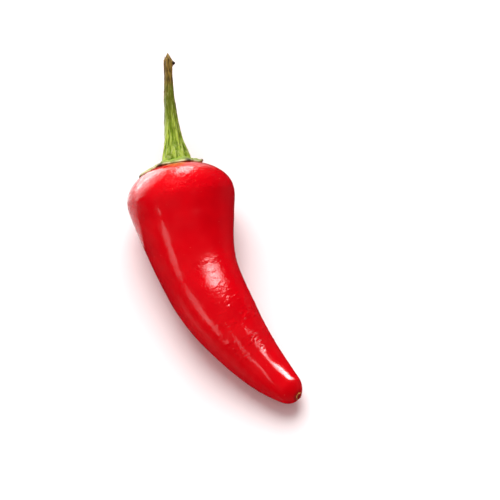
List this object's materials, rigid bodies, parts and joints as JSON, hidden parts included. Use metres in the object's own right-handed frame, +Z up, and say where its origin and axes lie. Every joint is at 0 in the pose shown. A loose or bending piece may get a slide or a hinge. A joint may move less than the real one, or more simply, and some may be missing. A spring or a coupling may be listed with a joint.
{
  "type": "red chili pepper",
  "caption": "Stout conical red chili pepper lying on its side, with a curved glossy pod, a leathery green calyx and a ribbed cut stem.",
  "frame": {"origin": "on the floor under the pod's widest ring, in the middle of the flat patch that it rests on there", "axes": "+Z is up as the pepper lies, +Y runs along the stem away from the pod, and the pod bends away towards -Y and +X"},
  "size_m": [0.0483, 0.0968, 0.0296],
  "materials": {
    "pod_skin": "gloss",
    "calyx_green": "matte",
    "stem_green": "satin"
  },
  "bodies": {
    "root": {"pod": "pod_skin", "calyx": "calyx_green", "stem": "stem_green"}
  },
  "joints": []
}
